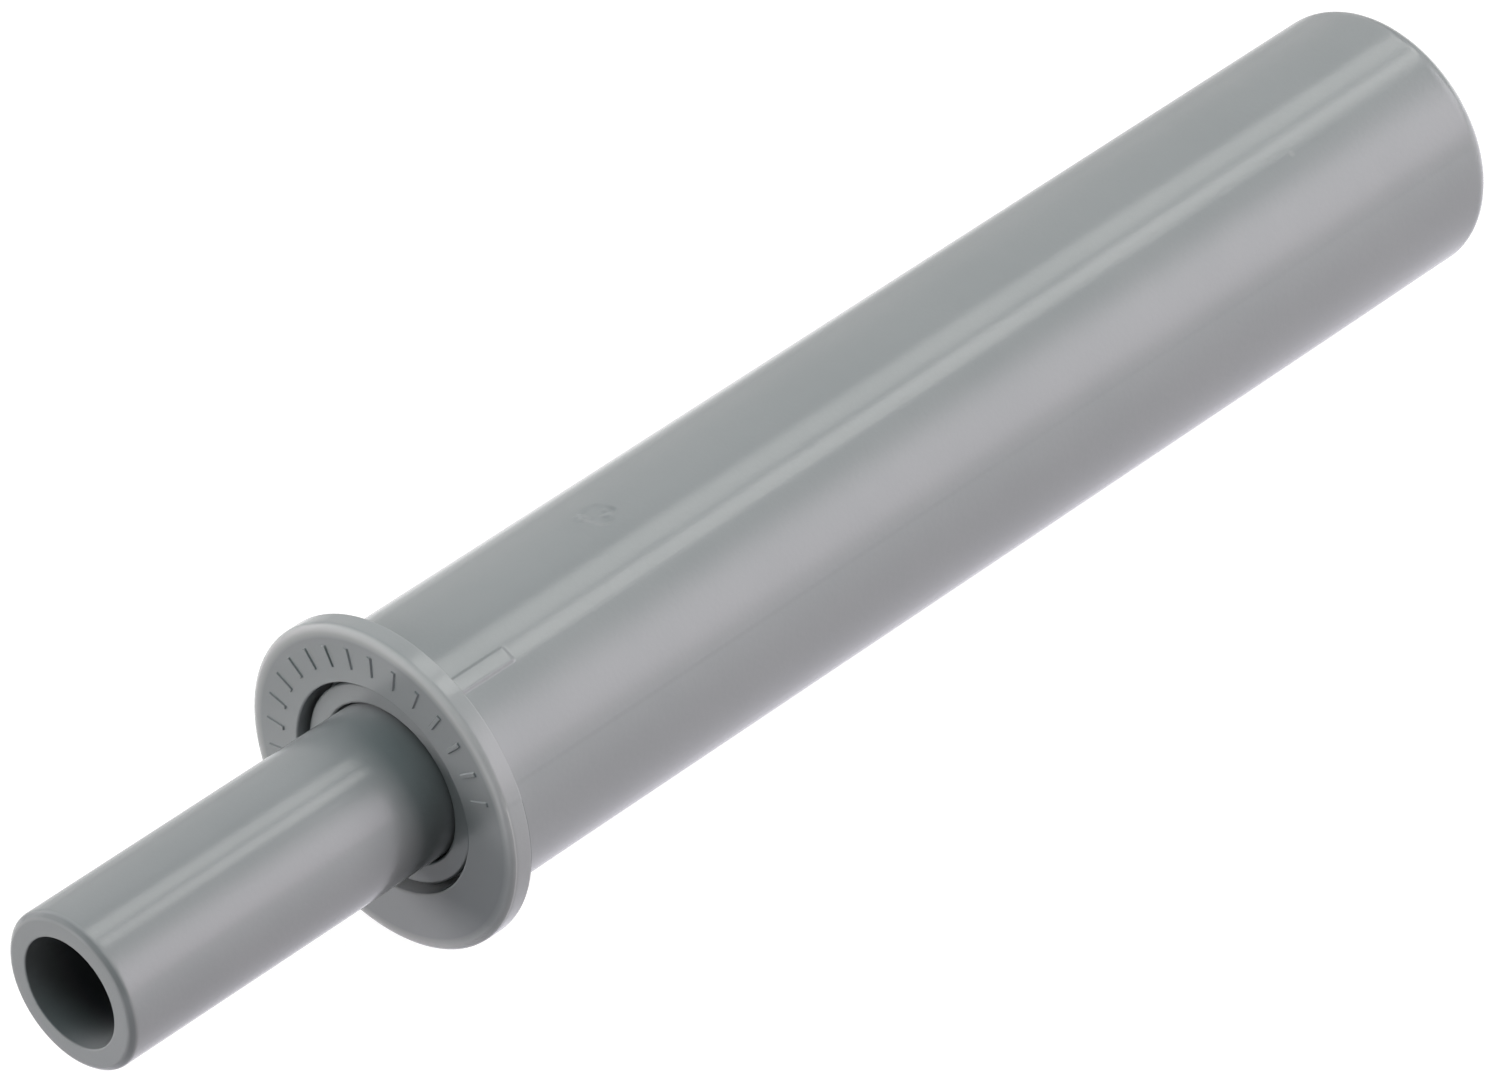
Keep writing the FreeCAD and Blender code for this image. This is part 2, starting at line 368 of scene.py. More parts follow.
housingLook = {
    "colour": (0.270, 0.290, 0.297), "cloudColour": (0.280, 0.299, 0.306), "wearAndSheenColour": (0.620, 0.630, 0.635),
    "wearAndSheenShow": 0.8, "speckColour": (0.31, 0.325, 0.33), "speckShare": 0.012, "grainScale": 5200.0,
    "roughness": 0.165, "glossSpread": 0.03, "scratchRough": 0.04, "grainStrength": 0.30,
    "grainHeight": 0.006 * mm, "rippleStrength": 0.05, "rippleHeight": 0.04 * mm, "ior": 1.48,
}


def ease(value, low, high):
    t = min(max((value - low) / (high - low), 0.0), 1.0)
    return t * t * (3 - 2 * t)


def turnFrom(angle, base):
    return (angle - base + 180.0) % 360.0 - 180.0


def partingShift(y, angle):
    # where the two mould halves met: a small step down, lower towards the rear
    s = housingSizes
    away = turnFrom(angle, s["partingAngle"] + s["partingSlant"] * y)
    nearest = math.radians(min(abs(away), 180.0 - abs(away))) * s["barrelRadius"]
    below = math.copysign(nearest / s["partingWidth"], away)
    fade = 1.0 - s["partingFade"] * y / s["barrelLength"]
    return -s["partingStep"] * fade * ease(below, -1.0, 1.0)


def ribShift(y, angle):
    # low rib that starts at the flange
    s = housingSizes
    across = abs(math.radians(turnFrom(angle, s["ribAngle"]))) * s["barrelRadius"]
    onTop = 1.0 - ease(across, s["ribHalfWidth"] - s["ribSideRun"], s["ribHalfWidth"])
    onTop *= 1.0 - ease(y, s["ribLength"] - s["ribEndRun"], s["ribLength"] + s["ribEndRun"])
    return s["ribHeight"] * onTop


def gateShift(y, angle):
    # shallow dish where the sprue was torn off, with two torn points in it
    s = housingSizes
    side = math.radians(turnFrom(angle, s["gateAngle"])) * s["barrelRadius"]
    ahead = y - s["gateStation"]
    out = math.hypot(side, ahead)
    if out >= s["gateReach"]:
        return 0.0
    # the last number of each place picks a slice of the noise
    tear = noise.noise(Vector((side * s["tearScale"], ahead * s["tearScale"], 4.0)))
    edge = s["gateRadius"] * (1.0 + s["gateTear"] * tear)
    inner, outer = s["gateRun"]
    shift = -s["gateDepth"] * (0.8 + 0.5 * tear) * (1.0 - ease(out, edge + inner, edge + outer))
    rough = noise.noise(Vector((side * s["stubScale"], ahead * s["stubScale"], 9.0)))
    torn = s["stubHeight"] * (0.7 + 0.8 * rough)
    inner, outer = s["stubRun"]
    for stubSide, stubAhead in s["stubPlaces"]:
        away = math.hypot(side - stubSide, ahead - stubAhead)
        shift += torn * (1.0 - ease(away, s["stubRadius"] + inner, s["stubRadius"] + outer))
    return shift


def housingDent(r, y, angle):
    s = housingSizes
    if abs(r - s["barrelRadius"]) < sameRadius and y < s["barrelLength"] - s["plainEnd"]:
        return partingShift(y, angle) + ribShift(y, angle) + gateShift(y, angle)
    if r > s["flangeRadius"] - s["rimBand"] and y < 0:
        return partingShift(y, angle)
    return 0.0


def housingMesh():
    s = housingSizes
    bore, barrel, rim = s["boreRadius"], s["barrelRadius"], s["flangeRadius"]
    face, length, groove = s["flangeFace"], s["barrelLength"], s["grooveRadius"]
    profile = roundedProfile([
        (0.0, s["boreFloor"], 0), (bore, s["boreFloor"], 0), (bore, s["grooveRear"], 0),
        (groove, s["grooveRear"], 0), (groove, s["grooveFront"], 0), (bore, s["grooveFront"], 0),
        (bore, face, s["mouthRound"]), (rim - s["cornerReach"][1], face, 0), (rim, face, s["frontRound"]),
        (rim, 0.0, s["rearRound"]), (barrel, 0.0, 0), (barrel, length, s["endRound"]), (0.0, length, 0),
    ])
    # rings and lines lie closer together at the rib, the gate mark and the parting line
    ribEnd, gate = s["ribLength"], s["gateStation"]
    gateLines = [s["gateMesh"] * k for k in range(-18, 19)]
    stations = [0.03, 0.5, 1.0, 1.5, 2.0, 2.5]
    stations += [ribEnd + s["ribEndRun"] * 0.2 * k for k in range(-6, 7)]
    stations += [gate + off for off in gateLines]
    stations += [4.0, 5.5, 7.0, 8.3, 9.0, 11.0, 12.0] + [14.0 + 3.0 * k for k in range(12)]
    profile = addStations(profile, barrel, stations)
    # painted light: the flange's rim and front corner are painted paler than its face, standing in for the
    # lamps lighting the rounding
    for i, (r, y, wornAndLit) in enumerate(profile):
        corner = 1.0 - ease(math.hypot(r - rim, s["cornerSquash"] * (y - face)), *s["cornerReach"])
        paintedRimLight = s["rimPaintedLight"] if r > rim - s["paintedLightBand"] else 0.0
        profile[i] = (r, y, max(wornAndLit * s["edgeWearAndSheen"], s["cornerPaintedLight"] * corner, paintedRimLight))
    perMm = math.degrees(1.0 / barrel)
    extra = []
    for k in range(-1, 12):
        off = s["ribHalfWidth"] - s["ribSideRun"] * 0.1 * k
        extra += [s["ribAngle"] + off * perMm, s["ribAngle"] - off * perMm]
    extra += [s["gateAngle"] + off * perMm for off in gateLines]
    for k in range(-13, 10):
        line = s["partingAngle"] + s["partingMesh"] * k * perMm
        extra += [line, line + 180.0]
    return turnedMesh("housing", profile, angleLines(144, extra), housingDent)


housingPlastic = mouldedPlastic("greyHousingPlastic", housingLook)
housing = placePiece("housing_shell", housingMesh(), housingPlastic, "housing_body", "housing_plastic",
                     "housing")
print("housing:", len(housing.data.polygons), "faces")


# guide bush in the mouth
bushSizes = {
    "holeRadius": 2.96, "noseRadius": 3.7, "radius": 3.88, "beadRadius": 4.1, "front": -0.5, "noseRear": 0.4,
    "beadFront": 0.9, "beadFlat": 1.15, "beadRear": 1.6, "rear": 3.7, "lead": 0.1,
}
bushLook = dict(housingLook, colour=(0.260, 0.280, 0.287), cloudColour=(0.270, 0.289, 0.296), roughness=0.22,
                grainStrength=0.45, wearAndSheenShow=0.11, speckShare=0.0)


def bushMesh():
    s = bushSizes
    profile = roundedProfile([
        (s["holeRadius"], s["front"], s["lead"]), (s["noseRadius"], s["front"], s["lead"]),
        (s["noseRadius"], s["noseRear"], 0), (s["radius"], s["noseRear"], 0),
        (s["radius"], s["beadFront"], 0), (s["beadRadius"], s["beadFront"], 0),
        (s["beadRadius"], s["beadFlat"], 0), (s["radius"], s["beadRear"], 0),
        (s["radius"], s["rear"], 0), (s["holeRadius"], s["rear"], 0),
    ], closed=True)
    return turnedMesh("guideBush", profile, angleLines(120), closed=True)


bushPlastic = mouldedPlastic("greyBushPlastic", bushLook)
bush = placePiece("guide_bush_ring", bushMesh(), bushPlastic, "housing_body", "bush_plastic", "guide_bush")
print("guide bush:", len(bush.data.polygons), "faces")


# plunger
plungerSizes = {
    "radius": 2.9, "tip": -15.05, "tipChamfer": 0.2, "edgeRound": 0.2, "boreRadius": 2.03, "boreLead": 0.06,
    "boreFloor": -0.55, "boreEndChamfer": 0.8, "collarRadius": 3.84, "collarFront": 3.75, "collarRear": 5.75,
    "spigotRadius": 2.3, "spigotRear": 7.55, "socketRadius": 1.02, "socketFloor": 2.05,
    "ventRadius": 0.45, "ventCount": 4, "boreShadeRun": 2.2,
}
plungerLook = dict(housingLook, colour=(0.260, 0.277, 0.285), cloudColour=(0.270, 0.286, 0.294),
                   roughness=0.165, grainStrength=0.25, wearAndSheenShow=0.14, scratchRough=0.06, speckShare=0.006,
                   boreShadeColour=(0.085, 0.092, 0.097))


def ventDent(r, y, angle):
    s = plungerSizes
    if abs(r - s["collarRadius"]) > sameRadius:
        return 0.0
    step = 360.0 / s["ventCount"]
    off = math.radians(turnFrom(angle, round(angle / step) * step))
    deep = s["ventRadius"] ** 2 - (r * math.sin(off)) ** 2
    if deep <= 0 or abs(off) > 1.0:
        return 0.0
    return r * math.cos(off) - math.sqrt(deep) - r


def plungerMesh():
    s = plungerSizes
    r, tip, bore, chamfer = s["radius"], s["tip"], s["boreRadius"], s["tipChamfer"]
    profile = roundedProfile([
        (0.0, s["boreFloor"], 0), (bore - s["boreEndChamfer"], s["boreFloor"], 0),
        (bore, s["boreFloor"] - s["boreEndChamfer"], 0), (bore, tip, s["boreLead"]),
        (r - chamfer, tip, s["edgeRound"]), (r, tip + chamfer, s["edgeRound"]), (r, s["collarFront"], 0),
        (s["collarRadius"], s["collarFront"], 0), (s["collarRadius"], s["collarRear"], 0),
        (s["spigotRadius"], s["collarRear"], 0), (s["spigotRadius"], s["spigotRear"], 0),
        (s["socketRadius"], s["spigotRear"], 0), (s["socketRadius"], s["socketFloor"], 0),
        (0.0, s["socketFloor"], 0),
    ])
    profile = addStations(profile, r, [-14.0, -12.0, -10.0, -8.0, -6.0, -4.0, -2.0, 0.0, 2.0])
    profile = addStations(profile, bore, [tip + 0.2 * k for k in range(1, 12)] + [-12.0, -10.0, -6.0])
    reach = math.degrees(math.asin(s["ventRadius"] / s["collarRadius"]))
    extra = []
    for k in range(s["ventCount"]):
        middle = 360.0 * k / s["ventCount"]
        for share in (-1.004, -0.999, -0.97, -0.9, -0.75, -0.5, -0.25, 0.0):
            extra += [middle + share * reach, middle - share * reach]
    mesh = turnedMesh("plunger", profile, angleLines(120, extra), ventDent)
    # painted shade: the blind bore is painted darker further in, where less light reaches
    boreShade = []
    for v in mesh.vertices:
        inBore = math.hypot(v.co.x, v.co.z) < (bore + 0.05) * mm and v.co.y < (s["boreFloor"] + 0.1) * mm
        boreShade.append(ease(v.co.y / mm, tip, tip + s["boreShadeRun"]) if inBore else 0.0)
    mesh.attributes.new("deep", "FLOAT", "POINT").data.foreach_set("value", boreShade)
    return mesh


plungerPlastic = mouldedPlastic("greyPlungerPlastic", plungerLook)
plunger = placePiece("plunger_rod", plungerMesh(), plungerPlastic, "plunger_body", "plunger_plastic",
                     "plunger")
print("plunger:", len(plunger.data.polygons), "faces")


# steel, rubber, foam and cartridge plastics of the works inside
def drawnSteel(name, look):
    material, tree, shader, place = newMaterial(name)
    skin = groupNode(tree, mouldSkin, -800, 200, place, Grain_Scale=look["grainScale"],
                     Flow_Scale=look["lineScale"])
    marks = groupNode(tree, handling, -800, -200, place, Speck_Share=0.0)
    colour = mixColours(tree, -200, 250, skin.outputs["Cloud"], look["colour"], look["cloudColour"])
    tree.links.new(colour, shader.inputs["Base Color"])
    gloss = mathNode(tree, "MULTIPLY_ADD", -200, 0, skin.outputs["Flow"], look["glossSpread"],
                     look["roughness"])
    gloss = mathNode(tree, "MULTIPLY_ADD", 0, 0, marks.outputs["Scratch"], look["scratchRough"], gloss)
    tree.links.new(gloss, shader.inputs["Roughness"])
    lines = bumpNode(tree, 200, -300, skin.outputs["Flow"], look["lineStrength"], look["lineHeight"])
    tree.links.new(lines, shader.inputs["Normal"])
    shader.inputs["Metallic"].default_value = 1.0
    return material


def softBlack(name, look):
    material, tree, shader, place = newMaterial(name)
    skin = groupNode(tree, mouldSkin, -800, 200, place, Grain_Scale=look["grainScale"])
    colour = mixColours(tree, -200, 250, skin.outputs["Cloud"], look["colour"], look["cloudColour"])
    tree.links.new(colour, shader.inputs["Base Color"])
    gloss = mathNode(tree, "MULTIPLY_ADD", -200, 0, skin.outputs["Grain"], look["glossSpread"],
                     look["roughness"])
    tree.links.new(gloss, shader.inputs["Roughness"])
    grain = bumpNode(tree, 200, -300, skin.outputs["Grain"], look["grainStrength"], look["grainHeight"])
    tree.links.new(grain, shader.inputs["Normal"])
    return material


def cellFoam(name, look):
    material, tree, shader, place = newMaterial(name)
    cells = addNode(tree, "ShaderNodeTexVoronoi", -800, 200)
    cells.inputs["Scale"].default_value = look["cellScale"]
    tree.links.new(place, cells.inputs["Vector"])
    # painted shade: the cell hollows are painted darker than the cell walls
    pit = rangeNode(tree, -500, 200, cells.outputs["Distance"], *look["pitEdge"])
    colour = mixColours(tree, -200, 250, pit, look["pitShadeColour"], look["colour"])
    tree.links.new(colour, shader.inputs["Base Color"])
    tree.links.new(rangeNode(tree, -200, 0, pit, 0.0, 1.0, *look["roughness"]), shader.inputs["Roughness"])
    cell = bumpNode(tree, 200, -300, pit, look["pitStrength"], look["pitHeight"])
    tree.links.new(cell, shader.inputs["Normal"])
    return material


worksLook = {
    "spring": {"colour": (0.55, 0.56, 0.57), "cloudColour": (0.48, 0.49, 0.51), "roughness": 0.26,
               "glossSpread": 0.14, "grainScale": 7000.0, "lineScale": 2600.0, "lineStrength": 0.25,
               "lineHeight": 0.004 * mm, "scratchRough": 0.15},
    "rod": {"colour": (0.63, 0.64, 0.65), "cloudColour": (0.58, 0.59, 0.60), "roughness": 0.14,
            "glossSpread": 0.08, "grainScale": 9000.0, "lineScale": 4000.0, "lineStrength": 0.25,
            "lineHeight": 0.004 * mm, "scratchRough": 0.15},
    "cartridge": dict(housingLook, colour=(0.70, 0.70, 0.67), cloudColour=(0.74, 0.74, 0.71), roughness=0.3,
                      wearAndSheenShow=0.0, speckShare=0.0),
    "washer": dict(housingLook, colour=(0.60, 0.60, 0.57), cloudColour=(0.56, 0.56, 0.53), roughness=0.42,
                   wearAndSheenShow=0.0, speckShare=0.0),
    "valve": dict(housingLook, colour=(0.64, 0.60, 0.48), cloudColour=(0.58, 0.55, 0.44), roughness=0.38,
                  wearAndSheenShow=0.0, speckShare=0.0),
    "blackPlastic": {"colour": (0.030, 0.030, 0.033), "cloudColour": (0.042, 0.042, 0.045), "roughness": 0.42,
                     "glossSpread": 0.12, "grainScale": 5000.0, "grainStrength": 0.5,
                     "grainHeight": 0.01 * mm},
    "rubber": {"colour": (0.018, 0.018, 0.019), "cloudColour": (0.028, 0.028, 0.028), "roughness": 0.62,
               "glossSpread": 0.12, "grainScale": 4200.0, "grainStrength": 0.5, "grainHeight": 0.01 * mm},
    "foam": {"colour": (0.085, 0.09, 0.105), "pitShadeColour": (0.025, 0.027, 0.033), "cellScale": 3200.0,
             "pitEdge": (0.15, 0.75), "pitStrength": 0.8, "pitHeight": 0.06 * mm, "roughness": (0.95, 0.8)},
}
springSteel = drawnSteel("springSteel", worksLook["spring"])
rodSteel = drawnSteel("groundRodSteel", worksLook["rod"])
blackPlastic = softBlack("blackWorksPlastic", worksLook["blackPlastic"])
worksFinish = {
    "piston_rod": rodSteel,
    "cylinder": mouldedPlastic("cartridgePlastic", worksLook["cartridge"]),
    "front_cap": blackPlastic,
    "rod_seal": softBlack("sealRubber", worksLook["rubber"]),
    "seal_washer": mouldedPlastic("washerPlastic", worksLook["washer"]),
    "foam_sleeve": cellFoam("cellFoam", worksLook["foam"]),
    "piston": blackPlastic,
    "valve_ring": mouldedPlastic("valvePlastic", worksLook["valve"]),
    "valve_plate": blackPlastic,
    "piston_clip": springSteel,
}
for node, finish in worksFinish.items():
    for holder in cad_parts[node].material_slots:
        holder.material = finish
print("works inside:", len(worksFinish), "nodes finished")


# geometry node trees
def newTree(name, inputs):
    tree = bpy.data.node_groups.new(name, "GeometryNodeTree")
    names = {}
    for label, kind, value in inputs:
        socket = tree.interface.new_socket(name=label, in_out="INPUT", socket_type=kind)
        if kind != "NodeSocketMaterial":
            socket.default_value = value
        names[label] = socket.identifier
    tree.interface.new_socket(name="Geometry", in_out="OUTPUT", socket_type="NodeSocketGeometry")
    return tree, names, addNode(tree, "NodeGroupInput", -900, 0), addNode(tree, "NodeGroupOutput", 900, 0)


def join(tree, source, target, label):
    tree.links.new(source, target.inputs[label])


def endTree(tree, geometry, start, end):
    realized = addNode(tree, "GeometryNodeRealizeInstances", 500, 0)
    painted = addNode(tree, "GeometryNodeSetMaterial", 700, 0)
    join(tree, geometry, realized, "Geometry")
    join(tree, realized.outputs[0], painted, "Geometry")
    join(tree, start.outputs["Material"], painted, "Material")
    join(tree, painted.outputs[0], end, "Geometry")


def meshFromTree(name, tree, names, values):
    # the tree runs once on an empty mesh and leaves a plain mesh
    carrier = bpy.data.objects.new(name + "Carrier", bpy.data.meshes.new(name + "Carrier"))
    bpy.context.scene.collection.objects.link(carrier)
    modifier = carrier.modifiers.new(name, "NODES")
    modifier.node_group = tree
    for label, value in values.items():
        modifier[names[label]] = value
    bpy.context.view_layer.update()
    graph = bpy.context.evaluated_depsgraph_get()
    mesh = bpy.data.meshes.new_from_object(carrier.evaluated_get(graph))
    mesh.name = name
    carrier.modifiers.remove(modifier)
    bpy.data.objects.remove(carrier)
    return mesh


# return spring
springSizes = {"Coil Radius": 2.7 * mm, "Wire Radius": 0.2 * mm, "Front": 5.77 * mm, "Rear": 22.78 * mm,
               "Turns": 7.0, "Runs Per Turn": 40, "Wire Sides": 14, "Sharp Turn": math.radians(50)}


def springTree():
    tree, names, start, end = newTree("coilSpring", (
        ("Coil Radius", "NodeSocketFloat", 0.0027), ("Wire Radius", "NodeSocketFloat", 0.0002),
        ("Length", "NodeSocketFloat", 0.018), ("Turns", "NodeSocketFloat", 7.0),
        ("Steps", "NodeSocketInt", 40), ("Start Angle", "NodeSocketFloat", 0.0),
        ("Start Station", "NodeSocketFloat", 0.0), ("Material", "NodeSocketMaterial", None)))
    coil = addNode(tree, "GeometryNodeCurveSpiral", -600, 200)
    for socket, label in (("Resolution", "Steps"), ("Rotations", "Turns"), ("Start Radius", "Coil Radius"),
                          ("End Radius", "Coil Radius"), ("Height", "Length")):
        join(tree, start.outputs[label], coil, socket)
    turn = addNode(tree, "ShaderNodeCombineXYZ", -600, -100)
    turn.inputs["X"].default_value = -math.pi / 2
    join(tree, start.outputs["Start Angle"], turn, "Y")
    shift = addNode(tree, "ShaderNodeCombineXYZ", -600, -250)
    join(tree, start.outputs["Start Station"], shift, "Y")
    laid = addNode(tree, "GeometryNodeTransform", -350, 150)
    join(tree, coil.outputs[0], laid, "Geometry")
    join(tree, turn.outputs[0], laid, "Rotation")
    join(tree, shift.outputs[0], laid, "Translation")
    wire = addNode(tree, "GeometryNodeCurvePrimitiveCircle", -350, -150)
    wire.inputs["Resolution"].default_value = springSizes["Wire Sides"]
    join(tree, start.outputs["Wire Radius"], wire, "Radius")
    swept = addNode(tree, "GeometryNodeCurveToMesh", -100, 50)
    swept.inputs["Fill Caps"].default_value = True
    join(tree, laid.outputs[0], swept, "Curve")
    join(tree, wire.outputs[0], swept, "Profile Curve")
    smooth = addNode(tree, "GeometryNodeSetShadeSmooth", 150, 50)
    join(tree, swept.outputs[0], smooth, "Geometry")
    endTree(tree, smooth.outputs[0], start, end)
    return tree, names


def springMesh():
    s = springSizes
    pitch = (s["Rear"] - s["Front"]) / s["Turns"]
    leadOut = 2 * s["Wire Radius"] / pitch
    turns = s["Turns"] + 2 * leadOut
    tree, names = springTree()
    mesh = meshFromTree("returnSpring", tree, names, {
        "Coil Radius": s["Coil Radius"], "Wire Radius": s["Wire Radius"], "Length": pitch * turns,
        "Turns": turns, "Steps": s["Runs Per Turn"], "Start Angle": -math.pi / 2 - 2 * math.pi * leadOut,
        "Start Station": s["Front"] - pitch * leadOut, "Material": springSteel})
    # both ends are ground flat and closed
    wire = bmesh.new()
    wire.from_mesh(mesh)
    for station, normal in ((s["Front"], -1.0), (s["Rear"], 1.0)):
        bmesh.ops.bisect_plane(wire, geom=wire.verts[:] + wire.edges[:] + wire.faces[:], dist=1e-8,
                               plane_co=(0, station, 0), plane_no=(0, normal, 0), clear_outer=True)
        rim = [e for e in wire.edges if e.is_boundary]
        bmesh.ops.holes_fill(wire, edges=rim, sides=0)
    bmesh.ops.recalc_face_normals(wire, faces=wire.faces)
    wire.to_mesh(mesh)
    wire.free()
    mesh.set_sharp_from_angle(angle=s["Sharp Turn"])
    return mesh


spring = placePiece("return_spring_coil", springMesh(), springSteel, "housing_body", "spring_steel",
                    "return_spring")
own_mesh(spring)
print("spring:", len(spring.data.polygons), "faces")


# raised plain ticks on the flange
tickSizes = {"Radius": 4.88 * mm, "Face": -0.85 * mm, "Length": 0.8 * mm, "Width": 0.2 * mm,
             "Height": 0.06 * mm, "Sink": 0.02 * mm, "Draft": 0.62, "End Draft": 0.93,
             "Start": math.radians(-100), "Sweep": math.radians(168), "Count": 15}


def tickTree():
    tree, names, start, end = newTree("flangeTicks", (
        ("Radius", "NodeSocketFloat", 0.005), ("Face", "NodeSocketFloat", 0.0),
        ("Length", "NodeSocketFloat", 0.001), ("Width", "NodeSocketFloat", 0.0002),
        ("Height", "NodeSocketFloat", 0.0001), ("Sink", "NodeSocketFloat", 0.0),
        ("Draft", "NodeSocketFloat", 0.6), ("End Draft", "NodeSocketFloat", 0.9),
        ("Start", "NodeSocketFloat", 0.0), ("Sweep", "NodeSocketFloat", 3.0), ("Count", "NodeSocketInt", 9),
        ("Material", "NodeSocketMaterial", None)))
    deep = mathNode(tree, "ADD", -700, 300, start.outputs["Height"], start.outputs["Sink"])
    size = addNode(tree, "ShaderNodeCombineXYZ", -520, 300)
    join(tree, start.outputs["Width"], size, "X")
    join(tree, deep, size, "Y")
    join(tree, start.outputs["Length"], size, "Z")
    block = addNode(tree, "GeometryNodeMeshCube", -350, 300)
    join(tree, size.outputs[0], block, "Size")
    # the top of each tick is narrower than its foot
    where = addNode(tree, "GeometryNodeInputPosition", -520, 80)
    parts = addNode(tree, "ShaderNodeSeparateXYZ", -350, 80)
    join(tree, where.outputs[0], parts, 0)
    upper = mathNode(tree, "LESS_THAN", -180, 0, parts.outputs["Y"], 0.0)
    narrow = addNode(tree, "ShaderNodeCombineXYZ", -180, 160)
    join(tree, mathNode(tree, "MULTIPLY", -350, -80, parts.outputs["X"], start.outputs["Draft"]), narrow, "X")
    join(tree, parts.outputs["Y"], narrow, "Y")
    ends = mathNode(tree, "MULTIPLY", -350, -200, parts.outputs["Z"], start.outputs["End Draft"])
    join(tree, ends, narrow, "Z")
    drafted = addNode(tree, "GeometryNodeSetPosition", 0, 250)
    join(tree, block.outputs["Mesh"], drafted, "Geometry")
    join(tree, upper, drafted, "Selection")
    join(tree, narrow.outputs[0], drafted, "Position")
    station = mathNode(tree, "MULTIPLY_ADD", -520, -300, deep, -0.5, mathNode(
        tree, "ADD", -700, -300, start.outputs["Face"], start.outputs["Sink"]))
    spot = addNode(tree, "ShaderNodeCombineXYZ", -180, -300)
    join(tree, station, spot, "Y")
    join(tree, start.outputs["Radius"], spot, "Z")
    placed = addNode(tree, "GeometryNodeTransform", 150, 250)
    join(tree, drafted.outputs[0], placed, "Geometry")
    join(tree, spot.outputs[0], placed, "Translation")
    points = addNode(tree, "GeometryNodePoints", -180, -480)
    join(tree, start.outputs["Count"], points, "Count")
    index = addNode(tree, "GeometryNodeInputIndex", -520, -480)
    last = mathNode(tree, "SUBTRACT", -520, -600, start.outputs["Count"], 1.0)
    share = mathNode(tree, "DIVIDE", -350, -540, index.outputs[0], last)
    angle = mathNode(tree, "MULTIPLY_ADD", -180, -640, share, start.outputs["Sweep"], start.outputs["Start"])
    euler = addNode(tree, "ShaderNodeCombineXYZ", 0, -600)
    join(tree, angle, euler, "Y")
    spin = addNode(tree, "FunctionNodeEulerToRotation", 150, -600)
    join(tree, euler.outputs[0], spin, "Euler")
    copies = addNode(tree, "GeometryNodeInstanceOnPoints", 330, 0)
    join(tree, points.outputs[0], copies, "Points")
    join(tree, placed.outputs[0], copies, "Instance")
    join(tree, spin.outputs[0], copies, "Rotation")
    endTree(tree, copies.outputs[0], start, end)
    return tree, names


tree, names = tickTree()
ticksMesh = meshFromTree("flangeTicks", tree, names, dict(tickSizes, Material=housingPlastic))
ticks = placePiece("flange_ticks", ticksMesh, housingPlastic, "housing_body", "housing_plastic")
print("ticks:", len(ticks.data.polygons), "faces")


# floor, light and camera
stageLook = {
    "floorZ": -6.03 * mm, "floorSize": 1.6, "floorColour": (0.19, 0.19, 0.19),
    "floorSeen": 0.94, "floorMirrored": 1.07, "worldSeen": 1.0, "worldLight": 0.05,
    "cardEdge": (-0.031, -0.020), "pastCard": 0.56, "cardFront": (-0.002, 0.020), "cardRear": (0.036, 0.056),
    "cardEnds": 0.65, "cardMiddle": (-0.016, -0.009), "cardTint": (0.975, 0.965, 1.05),
    "tintEdge": (-0.008, 0.004), "floorRough": 0.7,
}
target = Vector((0.0, 0.017, 0.0))
lights = {
    # each is seen either in the matt light or in the gloss; one with a slant lies along the object's axis
    "leftKey": {"towards": (-0.759, -0.637, 0.139), "distance": 0.6, "size": (0.42, 0.34), "radiance": 6.1,
                "colour": (1.0, 0.92, 0.92), "seenIn": "matt"},
    "leftSheen": {"towards": (-0.759, -0.637, 0.139), "distance": 0.6, "size": (0.84, 0.6), "radiance": 1.5,
                  "colour": (1.0, 0.97, 0.97), "seenIn": "gloss", "fades": (0.3, 0.3)},
    "frontFill": {"towards": (-0.256, -0.957, 0.139), "distance": 0.6, "size": (0.42, 0.34), "radiance": 1.2,
                  "colour": (0.94, 1.0, 1.0), "seenIn": "matt"},
    "top": {"towards": (0.0, -0.15, 1.0), "distance": 0.6, "size": (0.4, 0.4), "radiance": 1.75,
            "colour": (0.82, 1.0, 1.0), "seenIn": "matt"},
    "overhead": {"towards": (0.252, 0.581, 0.774), "distance": 1.0, "size": (0.72, 1.0), "radiance": 1.95,
                 "colour": (1.0, 0.98, 0.95), "seenIn": "matt", "slant": 0},
    "rightBack": {"towards": (0.738, 0.581, 0.344), "distance": 1.0, "size": (0.72, 0.9), "radiance": 3.3,
                  "colour": (1.0, 0.90, 0.91), "seenIn": "matt", "slant": 0},
    "rightGleam": {"towards": (0.732, 0.581, 0.357), "distance": 0.5, "size": (0.8, 0.52), "radiance": 2.1,
                   "colour": (1.0, 0.91, 0.99), "seenIn": "gloss", "slant": 22, "fades": (0.40, 0.42)},
    "leftGleam": {"towards": (-0.705, 0.581, 0.407), "distance": 0.5, "size": (0.42, 0.75), "radiance": 0.6,
                  "colour": (1.0, 0.97, 0.96), "seenIn": "gloss", "slant": 0, "fades": (0.3, 0.3)},
}
strips = {
    # bright slots over the object
    "stripLeft": {"place": (-0.0413, 0.165, 0.2), "run": (-0.287, 0.958, 0.0), "size": (0.055, 0.36),
                  "radiance": 1.95, "colour": (1.0, 0.99, 0.95), "seenIn": "gloss", "fades": (0.1, 0.1)},
    "stripRight": {"place": (-0.0040, 0.2548, 0.2), "run": (-0.327, 0.945, 0.0), "size": (0.041, 0.36),
                   "radiance": 2.7, "colour": (1.0, 0.99, 0.95), "seenIn": "gloss", "fades": (0.1, 0.1)},
}


